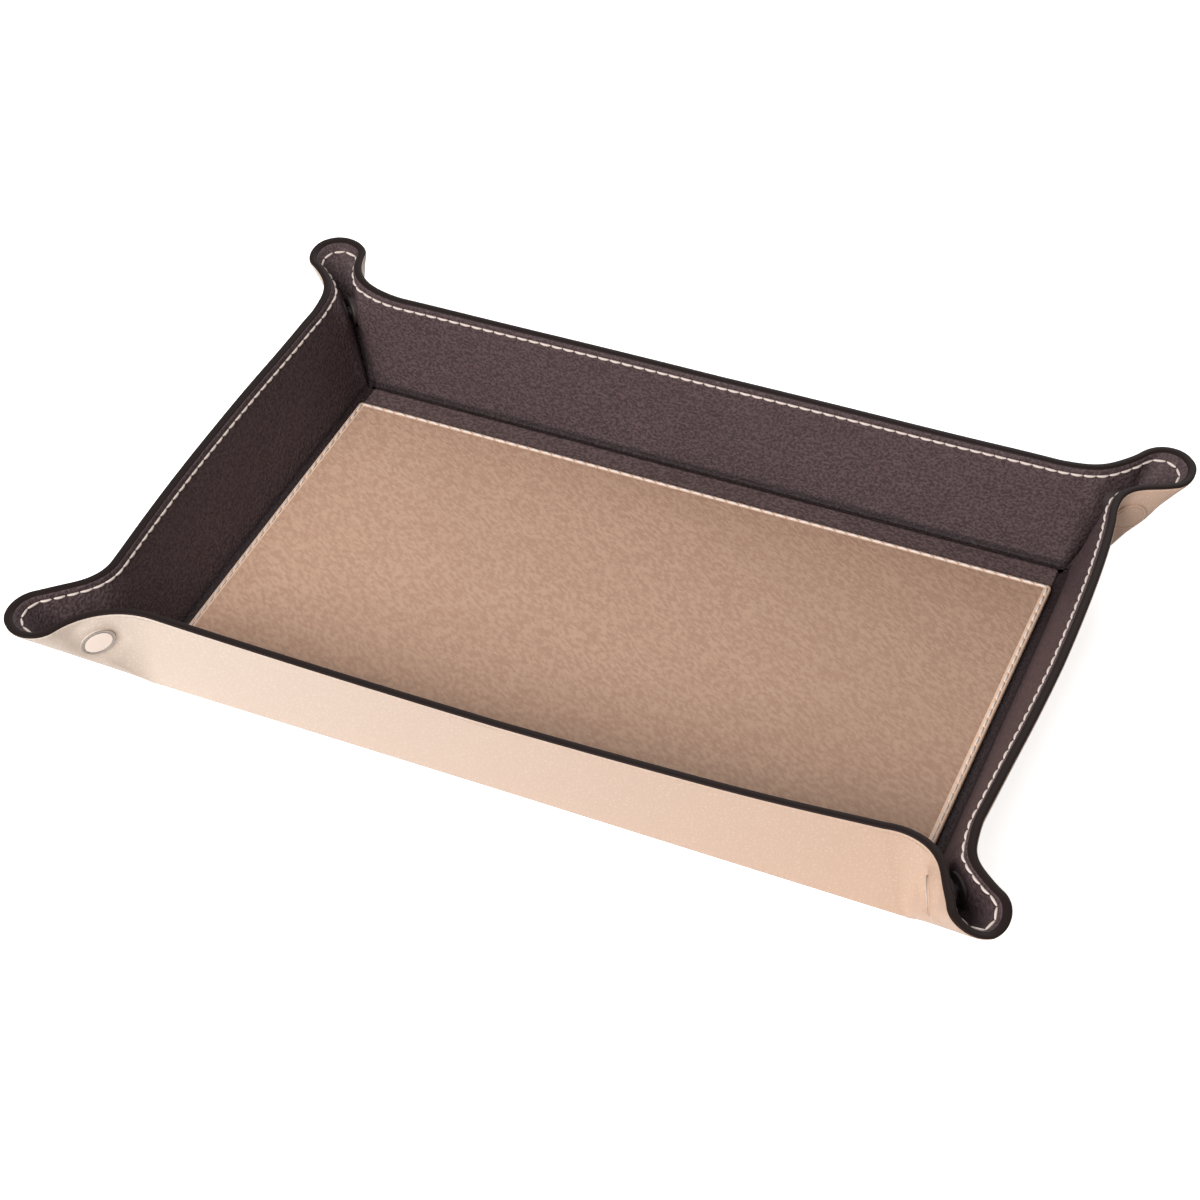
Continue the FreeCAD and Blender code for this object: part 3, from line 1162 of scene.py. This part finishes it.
@dataclass
class SheetPart:
    """A part of the sheet that is dressed as one: its leathers, edge paint and thread."""

    profile: SheetProfile
    thread: Thread
    count: int

    measure_steps: ClassVar[int] = 120

    @property
    def name(self) -> str:
        """The part's name."""
        raise NotImplementedError

    def columns(self) -> list[tuple[HalfSheet, Stretch, np.ndarray]]:
        """Half sheet, stretch and shares of each run of columns."""
        raise NotImplementedError

    def attach(self, piece: Piece, at_foot: bool) -> None:
        """Settles what a piece stays with. Each kind of part says how."""
        raise NotImplementedError

    def stood_for(self, layer: Layer) -> str:
        """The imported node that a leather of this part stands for."""
        raise NotImplementedError

    def sweep(self, name: str, cut: tuple[np.ndarray, np.ndarray], material: Material) -> Piece:
        """Runs a cut along the part's columns, and marks where painted shade goes in the creases.

        Args:
            name: The piece's name.
            cut: Insets and heights of the cut.
            material: The piece's material.

        Returns:
            The new piece.
        """
        columns = self.columns()
        grid = np.concatenate([half.place(stretch, shares, *cut) for half, stretch, shares in columns])
        piece = add_piece(name, grid, ring_faces(grid.shape[0], grid.shape[1]), material)
        # Marks where the lining takes painted shade in creases and folds
        marks = [self.profile.painted_shade_marks(stretch, shares, cut[1]) for _, stretch, shares in columns]
        layer = piece.data.attributes.new(PAINTED_SHADE_MARK, "FLOAT", "POINT")
        layer.data.foreach_set("value", np.concatenate(marks).ravel())
        return piece

    def stitch_shares(self, half: HalfSheet, stretch: Stretch) -> tuple[np.ndarray, float]:
        """Spaces the stitches evenly from the wall's middle to the ear's tip.

        Args:
            half: The half sheet.
            stretch: The stretch wanted.

        Returns:
            Shares of the stitches' middles on the stretch, and half a stitch as a share of it.
        """
        fine = np.linspace(0.0, 1.0, self.measure_steps)
        inset, height = self.profile.sizes.thickness, self.profile.stitch_height
        runs = []
        for each in Stretch:
            row = half.place(each, fine, [inset], [height])[:, 0]
            steps = np.linalg.norm(np.diff(row, axis=0), axis=1)
            runs.append(np.concatenate([[0.0], np.cumsum(steps)]))
        wanted = list(Stretch).index(stretch)
        before = sum(run[-1] for run in runs[:wanted])
        total = sum(run[-1] for run in runs)
        count = round(total / self.thread.pitch)
        pitch = total / count
        places = (np.arange(count) + 0.5) * pitch - before
        here = runs[wanted]
        inside = places[(places >= 0.0) & (places < here[-1])]
        return np.interp(inside, here, fine), self.thread.length / 2 / here[-1]

    def stitch_row(self) -> tuple[np.ndarray, np.ndarray]:
        """Lays the stitches on the lining.

        Returns:
            Paths and normals, two arrays of stitches by rings by three.
        """
        paths, normals = [], []
        inset, height = self.profile.sizes.thickness, self.profile.stitch_height
        for half, stretch, _ in self.columns():
            middles, reach = self.stitch_shares(half, stretch)
            shares = middles[:, None] + reach * self.thread.ring_shares
            pair = half.place(stretch, shares.ravel(), [inset, inset + MM], [height, height])
            paths.append(pair[:, 0].reshape(*shares.shape, 3))
            normals.append(unit(pair[:, 1] - pair[:, 0]).reshape(*shares.shape, 3))
        return np.concatenate(paths), np.concatenate(normals)

    def dye_flesh_side(self, outer: Piece, finishes: Finishes) -> None:
        """Dyes the outer leather's bonded side like the lining, because it shows where an ear is opened.

        Args:
            outer: The outer leather.
            finishes: The materials.
        """
        outer.data.materials.append(finishes.lining)
        rows = len(self.profile.outer()[0])
        for face in list(outer.data.polygons)[:-END_FILLS]:
            face.material_index = 1 if face.index % rows >= rows - self.profile.flesh_rows else 0

    def dress(self, finishes: Finishes) -> None:
        """Builds every piece of the part.

        Args:
            finishes: The materials.
        """
        outer = self.sweep(f"{self.name}_outer_skin", self.profile.outer(), finishes.outer)
        self.dye_flesh_side(outer, finishes)
        lining = self.sweep(f"{self.name}_lining_skin", self.profile.lining(), finishes.lining)
        edge = self.sweep(f"{self.name}_edge_paint", self.profile.edge(), finishes.edge)
        thread = self.thread.build(f"{self.name}_thread", *self.stitch_row(), finishes.thread)
        for piece in (outer, lining, edge, thread):
            self.attach(piece, piece in (outer, lining))
        for piece, layer in ((outer, Layer.OUTER), (lining, Layer.LINING)):
            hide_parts(self.stood_for(layer))


@dataclass
class WallPart(SheetPart):
    """A wall, from ear to ear. Its edge paint and thread ride on the wall; its leathers stay put."""

    first: HalfSheet
    second: HalfSheet
    bend_in: float = 3.0 * MM
    bend_low: float = 2.0 * MM
    bend_out: float = 2.5 * MM
    bend_high: float = 11.0 * MM

    @property
    def name(self) -> str:
        """The wall's name, which is also its body's."""
        return f"{self.first.wall_name}_wall"

    def columns(self) -> list[tuple[HalfSheet, Stretch, np.ndarray]]:
        """Both halves, from the first one's end to the second one's."""
        shares = np.linspace(0.0, 1.0, self.count)
        return [(self.first, Stretch.WALL, shares[::-1]), (self.second, Stretch.WALL, shares[1:])]

    def attach(self, piece: Piece, at_foot: bool) -> None:
        """Lets edge paint and thread ride on the wall, and leaves a leather where it lies.

        Args:
            piece: The piece.
            at_foot: Whether it reaches down to the base.
        """
        if not at_foot:
            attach(piece, self.name)
            return
        offset = self.second.crease_offset
        start = self.second.to_frame(np.array([0.0, offset - self.bend_in, self.bend_low]))
        end = self.second.to_frame(np.array([0.0, offset + self.bend_out, self.bend_high]))
        self.name
        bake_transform(piece)

    def stood_for(self, layer: Layer) -> str:
        """The wall's node of that leather."""
        return f"{self.name}_{layer.value}"


@dataclass
class EarPart(SheetPart):
    """The flare or the round end of half an ear."""

    half: HalfSheet
    stretch: Stretch
    bend_level: float = 0.8

    bend_shares: ClassVar[dict] = {Stretch.FLARE: (0.05, 0.6), Stretch.ROUND: (0.15, 0.85)}
    panels: ClassVar[dict] = {Stretch.FLARE: "flap", Stretch.ROUND: "tip"}

    @property
    def name(self) -> str:
        """The half ear's name with the stretch."""
        return f"{self.half.name}_{self.stretch.value}"

    @property
    def panel(self) -> str:
        """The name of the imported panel."""
        return f"{self.half.name}_{self.panels[self.stretch]}"

    def columns(self) -> list[tuple[HalfSheet, Stretch, np.ndarray]]:
        """The whole stretch."""
        return [(self.half, self.stretch, np.linspace(0.0, 1.0, self.count))]

    def attach(self, piece: Piece, at_foot: bool) -> None:
        """Finds the line that the panel turns about, and leaves the piece where it lies.

        Args:
            piece: The piece.
            at_foot: Whether it reaches down to the base, which makes no difference here.
        """
        joint = next(each for each in frame["joints"] if each["name"] == f"{self.panel}_bend")
        inset = self.profile.sizes.thickness / 2
        height = self.profile.sizes.rim_height * self.bend_level
        first, last = self.bend_shares[self.stretch]
        start = self.half.point(self.stretch, first, inset, height)
        reach = self.half.point(self.stretch, last, inset, height) - start
        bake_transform(piece)

    def stood_for(self, layer: Layer) -> str:
        """The panel's node of that leather."""
        return f"{self.panel}_{layer.value}"


@dataclass(frozen=True)
class Base:
    """The tray's floor: outer leather below, lining above, and the sewn inlay."""

    sizes: SheetSizes
    profile: SheetProfile
    thread: Thread
    floor_round: float = 0.8 * MM
    floor_clearance: float = 1.4 * MM
    inlay_corner_radius: float = 1.5 * MM
    inlay_round: float = 0.8 * MM
    inlay_face_start: float = 0.6 * MM
    inlay_face_end: float = 3.6 * MM
    inlay_face_rings: int = 16
    inlay_stitch_inset: float = 1.2 * MM
    inlay_groove: float = 0.25 * MM
    inlay_groove_width: float = 0.8 * MM
    inlay_puff: float = 0.12 * MM
    inlay_border: float = 2.2 * MM

    def plate(self, name: str, outline: tuple, rings: list, material: Material) -> Piece:
        """A rounded rectangular plate built from level rings.

        Args:
            name: The piece's name.
            outline: Half length, half width and corner radius at no inset.
            rings: Inset and height of each ring.
            material: The plate's material.

        Returns:
            The plate, riding on the base.
        """
        half_length, half_width, radius = outline
        least = self.sizes.bond_gap
        levels = []
        for inset, height in rings:
            ring = rounded_rectangle(half_length - inset, half_width - inset, max(radius - inset, least))
            levels.append(np.column_stack([ring, np.full(len(ring), height)]))
        shape = np.stack(levels)
        piece = add_piece(name, shape, ring_faces(shape.shape[0], shape.shape[1]), material)
        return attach(piece, "base")

    def dress(self, finishes: Finishes) -> None:
        """Builds the base's pieces.

        Args:
            finishes: The materials.
        """
        sizes = self.sizes
        crease = (sizes.half_length, sizes.half_width, sizes.base_corner_radius)
        skirt = self.profile.skirt
        flat = [(skirt, 0.0), (skirt, sizes.outer_thickness)]
        under = self.plate("base_outer_skin", crease, flat, finishes.outer)
        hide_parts("base_outer_leather")
        edge = sizes.thickness + self.floor_clearance
        low = (edge, sizes.floor_height - sizes.lining_thickness)
        bend = rounded_edge(edge, sizes.floor_height, self.floor_round)
        # The floor's leather is the lining's, made lighter as painted light
        floor = self.plate("base_floor_skin", crease, [low, *bend], finishes.floor)
        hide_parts("base_lining")
        self.inlay_panel(finishes)
        self.inlay_stitches(finishes)
        refinish("base_board", finishes.board)

    def inlay_panel(self, finishes: Finishes) -> None:
        """Builds the inlay, puffed up a little inside its row of stitches, with a pale border.

        Args:
            finishes: The materials.
        """
        low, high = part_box("inlay_panel")
        insets = np.linspace(self.inlay_face_start, self.inlay_face_end, self.inlay_face_rings)
        dent = self.inlay_groove * dip(insets - self.inlay_stitch_inset, self.inlay_groove_width)
        heights = high.z + self.inlay_puff * insets / insets[-1] - dent
        rings = [(0.0, low.z), *rounded_edge(0.0, high.z, self.inlay_round), *zip(insets, heights)]
        panel = self.plate("inlay_skin", (high.x, high.y, self.inlay_corner_radius), rings, finishes.inlay)
        panel.data.materials.append(finishes.cut_edge)
        for side in panel.data.polygons:
            reach = max(abs(side.center.x) - high.x, abs(side.center.y) - high.y)
            side.material_index = 1 if reach > -self.inlay_border else 0
        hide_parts("inlay_panel")

    def inlay_stitches(self, finishes: Finishes) -> None:
        """Sews the inlay down along its four edges.

        Args:
            finishes: The materials.
        """
        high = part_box("inlay_panel")[1]
        across = high.xy - Vector((self.inlay_stitch_inset,) * 2)
        rows = []
        for length, offset, axis in ((across.x, across.y, 0), (across.y, across.x, 1)):
            count = round(2 * length / self.thread.pitch)
            middles = (np.arange(count) + 0.5) * 2 * length / count - length
            for way in (1.0, -1.0):
                row = np.zeros((count, self.thread.rings, 3))
                row[:, :, axis] = middles[:, None] + self.thread.length / 2 * self.thread.ring_shares
                row[:, :, 1 - axis] = offset * way
                row[:, :, 2] = high.z - self.inlay_groove / 2
                rows.append(row)
        paths = np.concatenate(rows)
        normals = np.broadcast_to(UP, paths.shape)
        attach(self.thread.build("inlay_thread", paths, normals, finishes.thread), "base")


@dataclass(frozen=True)
class PressStud:
    """One side of a press stud: a disc on the leather, and the socket or stud behind it."""

    radius: float = 5.4 * MM
    edge_height: float = 0.4 * MM
    crown_height: float = 0.8 * MM
    rim_width: float = 0.6 * MM
    groove_depth: float = 0.2 * MM
    pole: float = 0.05 * MM
    sides: int = 48
    sharp_angle: float = 35.0

    def cut(self) -> list[tuple[float, float]]:
        """Cuts a disc from its underside over the rim and the groove to its crown.

        Returns:
            Radius and rise of each ring.
        """
        inner = self.radius - self.rim_width
        slope = self.rim_width / 3
        rim = self.edge_height + self.groove_depth
        return [
            (self.pole, -self.edge_height),
            (self.radius, -self.edge_height),
            (self.radius, self.edge_height),
            (self.radius - slope, rim),
            (inner, rim),
            (inner - slope, self.edge_height),
            (inner - 2 * slope, self.edge_height),
            (inner - 3 * slope, rim),
            (self.radius / 2, (rim + 2 * self.crown_height) / 3),
            (self.pole, self.crown_height),
        ]

    def dress(self, half: HalfSheet, finishes: Finishes) -> None:
        """Seats a turned disc on the leather. A cap has a metal rim, a post is covered with leather.

        Args:
            half: The half sheet that it is on.
            finishes: The materials.
        """
        axis, middle = half.stud_seat.axis, half.stud_seat.seat
        side = unit(np.cross(axis, UP))
        turns = np.linspace(0.0, FULL_TURN, self.sides, endpoint=False)
        around = np.outer(np.cos(turns), side) + np.outer(np.sin(turns), np.cross(side, axis))
        cut = self.cut()
        shape = np.stack([middle + reach * around + rise * axis for reach, rise in cut])
        faces = ring_faces(len(cut), self.sides)
        piece = add_piece(f"{half.stud_seat.head}_disc", shape, faces, finishes.outer, self.sharp_angle)
        piece.data.materials.append(finishes.metal)
        piece.data.materials.append(finishes.enamel)
        for part in piece.data.polygons:
            aside = np.array(part.center) - middle
            rise = float(aside @ axis)
            reach = float(np.linalg.norm(aside - rise * axis))
            if half.kind is SideKind.LONG and rise > self.edge_height:
                part.material_index = 1 if reach > self.radius - 2 * self.rim_width else 2
        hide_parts(half.stud_seat.head)
        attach(piece, f"{half.name}_flap")
        # The hidden socket or stud is coloured dark umber as painted shade
        refinish(half.stud_seat.hidden, finishes.hidden_stud_shade)


def hand_forming() -> dict[str, Shaping]:
    """How each half wall and ear is bent, set to match the photograph.

    Returns:
        The shaping of each half sheet by its name.
    """
    return {
        "front_right_long": Shaping(
            wall_middle=0.4 * MM,
            wall_far=1.8 * MM,
            wall_end=3.9 * MM,
            flare_near=5.1 * MM,
            flare_middle=4.2 * MM,
            flare_far=0.2 * MM,
            neck=0.5 * MM,
            ball=0.3 * MM,
            tip=-1.4 * MM,
            neck_lift=-0.5 * MM,
            tip_lift=-2.4 * MM,
            foot_middle=-0.4 * MM,
            foot_end=-1.0 * MM,
            foot_tip=-1.0 * MM,
            stud_lean=math.radians(12.0),
            stud_turn=math.radians(-10.0),
        ),
        "front_right_end": Shaping(
            wall_middle=-0.8 * MM,
            wall_end=-0.3 * MM,
            flare_near=-0.7 * MM,
            flare_middle=0.7 * MM,
            flare_far=-0.9 * MM,
            neck=-0.9 * MM,
            ball=-0.8 * MM,
            tip=-1.4 * MM,
            neck_lift=-0.5 * MM,
            tip_lift=-2.4 * MM,
            foot_end=-0.5 * MM,
            foot_tip=-1.0 * MM,
        ),
        "front_left_long": Shaping(
            wall_middle=0.4 * MM,
            wall_far=0.2 * MM,
            tip=-0.5 * MM,
            foot_middle=-0.4 * MM,
            foot_end=-0.3 * MM,
            stud_lean=math.radians(10.0),
        ),
        "front_left_end": Shaping(
            flare_near=-0.7 * MM,
            flare_middle=-3.0 * MM,
            flare_far=-4.6 * MM,
            neck=-3.9 * MM,
            ball=-1.8 * MM,
            tip=-0.5 * MM,
        ),
        "back_left_long": Shaping(
            wall_end=-0.7 * MM,
            flare_near=-0.6 * MM,
            flare_middle=0.8 * MM,
            flare_far=0.4 * MM,
            neck=-2.2 * MM,
            ball=-1.0 * MM,
            neck_lift=1.5 * MM,
            tip_lift=2.0 * MM,
            waist=2.6 * MM,
        ),
        "back_left_end": Shaping(
            wall_far=-0.5 * MM,
            wall_end=-1.8 * MM,
            flare_near=-1.9 * MM,
            flare_middle=-0.6 * MM,
            flare_far=-1.2 * MM,
            neck=-1.4 * MM,
            neck_lift=1.5 * MM,
            tip_lift=2.0 * MM,
            waist=2.6 * MM,
        ),
        "back_right_long": Shaping(
            wall_far=-1.4 * MM,
            wall_end=-3.2 * MM,
            flare_near=-3.1 * MM,
            flare_middle=-2.2 * MM,
            flare_far=-2.6 * MM,
            neck=-1.4 * MM,
            ball=-0.4 * MM,
            waist=1.6 * MM,
        ),
        "back_right_end": Shaping(
            wall_middle=-0.8 * MM,
            wall_far=-0.9 * MM,
            wall_end=-0.4 * MM,
            flare_near=1.3 * MM,
            flare_middle=2.7 * MM,
            flare_far=-1.5 * MM,
            neck=-2.6 * MM,
            ball=-0.6 * MM,
            waist=1.6 * MM,
            stud_lean=math.radians(6.0),
        ),
    }


@dataclass
class Tray:
    """The whole tray."""

    wall_columns: int = 61
    flare_columns: int = 25
    round_columns: int = 21
    sizes: SheetSizes = field(default_factory=SheetSizes.from_frame)
    thread: Thread = field(default_factory=Thread)
    shapings: dict[str, Shaping] = field(default_factory=hand_forming)

    def half(self, kind: SideKind, corner: Corner) -> HalfSheet:
        """The half sheet of one kind at a corner."""
        return HalfSheet(self.sizes, kind, corner, self.shapings[f"{corner.name}_{kind.value}"])

    def dress(self, finishes: Finishes) -> None:
        """Builds every piece of the tray.

        Args:
            finishes: The materials.
        """
        profile, thread = SheetProfile(self.sizes), self.thread
        Base(self.sizes, profile, thread).dress(finishes)
        corners = [Corner(depth, width) for depth in ("back", "front") for width in ("right", "left")]
        every = {kind: [self.half(kind, corner) for corner in corners] for kind in SideKind}
        for halves in every.values():
            for wall in sorted({half.wall_name for half in halves}):
                first, second = [half for half in halves if half.wall_name == wall]
                WallPart(profile, thread, self.wall_columns, first, second).dress(finishes)
            for half in halves:
                EarPart(profile, thread, self.flare_columns, half, Stretch.FLARE).dress(finishes)
                EarPart(profile, thread, self.round_columns, half, Stretch.ROUND).dress(finishes)
        for ear in zip(*every.values()):
            for half in ear:
                PressStud().dress(half, finishes)


@dataclass(frozen=True)
class Studio:
    """A white table and backdrop, a soft main light from the front left, and even light all round."""

    floor_size: float = 12.0
    floor_tone: str = "#F2F2F2"
    floor_glow: float = 0.8
    ambient: float = 0.13
    main_place: tuple[float, float, float] = (-0.3, -1.28, 1.14)
    main_size: float = 1.2
    main_power: float = 43.0
    rim_place: tuple[float, float, float] = (-0.1, 1.25, 0.8)
    rim_size: float = 0.8
    rim_power: float = 6.0
    camera_aim: tuple[float, float, float] = (-0.0053, -0.0005, 0.0100)
    camera_distance: float = 0.8347
    camera_azimuth: float = math.radians(24.33)
    camera_elevation: float = math.radians(43.22)
    camera_roll: float = math.radians(-1.41)
    camera_lens: float = 83.09

    def build(self) -> None:
        """Sets up the floor, the lights and the camera."""
        scene = bpy.context.scene
        scene.view_settings.view_transform = "Standard"
        self.floor()
        self.world(scene)
        self.soft_box(scene, "Main_Soft_Box", self.main_place, self.main_size, self.main_power)
        self.soft_box(scene, "Rim_Soft_Box", self.rim_place, self.rim_size, self.rim_power)
        self.camera(scene)

    def floor(self) -> None:
        """Lays the table: white to the camera, with the tray's shadow on it."""
        material = bpy.data.materials.new("Table_White")
        shader = Shader(material)
        paper = shader.add("BsdfDiffuse", {"Color": colour(self.floor_tone)})
        glow = shader.add("Emission", {"Strength": self.floor_glow})
        lifted = shader.add("AddShader", links={0: paper.outputs[0], 1: glow.outputs[0]})
        shown = shader.add(
            "MixShader", links={0: self.shown(shader), 1: paper.outputs[0], 2: lifted.outputs[0]}
        )
        shader.add("OutputMaterial", links={"Surface": shown.outputs[0]})
        half = self.floor_size / 2
        corners = np.array([(-half, -half, 0.0), (half, -half, 0.0), (half, half, 0.0), (-half, half, 0.0)])
        add_piece("table", corners, [(0, 1, 2, 3)], material)

    def shown(self, shader: Shader) -> Socket:
        """Tells rays that show a surface from rays that it only lights.

        Args:
            shader: The surface's nodes.

        Returns:
            One for the camera, a reflection or a clear piece, nought for the rest.
        """
        path = shader.add("LightPath").outputs
        seen = path["Is Camera Ray"]
        for ray in ("Is Glossy Ray", "Is Transmission Ray"):
            seen = shader.add("Math", {"operation": "MAXIMUM"}, {0: seen, 1: path[ray]}).outputs[0]
        return seen

    def world(self, scene: bpy.types.Scene) -> None:
        """Adds even light, shown as plain white.

        Args:
            scene: The scene.
        """
        world = bpy.data.worlds.new("Studio")
        shader = Shader(world)
        soft = shader.add("Background", {"Color": colour(WHITE), "Strength": self.ambient})
        white = shader.add("Background", {"Color": colour(WHITE), "Strength": 1.0})
        shown = shader.add(
            "MixShader", links={0: self.shown(shader), 1: soft.outputs[0], 2: white.outputs[0]}
        )
        shader.add("OutputWorld", links={"Surface": shown.outputs[0]})
        scene.world = world

    def soft_box(self, scene: bpy.types.Scene, name: str, place: tuple, size: float, power: float) -> None:
        """Adds a square soft light that looks at the tray.

        Args:
            scene: The scene.
            name: The light's name.
            place: Where it stands.
            size: Its side.
            power: Its power in watts.
        """
        data = bpy.data.lights.new(name, "AREA")
        data.shape = "SQUARE"
        data.size = size
        data.energy = power
        lamp = bpy.data.objects.new(name, data)
        lamp.location = place
        lamp.rotation_mode = "QUATERNION"
        lamp.rotation_quaternion = (-Vector(place)).to_track_quat("-Z", "Y")
        scene.collection.objects.link(lamp)

    def camera(self, scene: bpy.types.Scene) -> None:
        """Aims the camera at the tray as in the photograph.

        Args:
            scene: The scene.
        """
        azimuth, elevation, roll = self.camera_azimuth, self.camera_elevation, self.camera_roll
        level = math.cos(elevation)
        back = Vector((math.sin(azimuth) * level, -math.cos(azimuth) * level, math.sin(elevation)))
        flat = Vector((math.cos(azimuth), math.sin(azimuth), 0.0))
        steep = back.cross(flat)
        right = flat * math.cos(roll) + steep * math.sin(roll)
        upward = steep * math.cos(roll) - flat * math.sin(roll)
        turn = Matrix((right, upward, back)).transposed().to_4x4()
        eye = Vector(self.camera_aim) + back * self.camera_distance
        data = bpy.data.cameras.new("Camera")
        data.lens = self.camera_lens
        camera = bpy.data.objects.new("Camera", data)
        camera.matrix_world = Matrix.Translation(eye) @ turn
        scene.collection.objects.link(camera)
        scene.camera = camera


def main() -> None:
    """Dresses the tray and sets up the studio."""
    logging.basicConfig(level=logging.INFO, format="%(message)s")
    Tray().dress(Finishes())
    Studio().build()


if __name__ == "__main__":
    main()
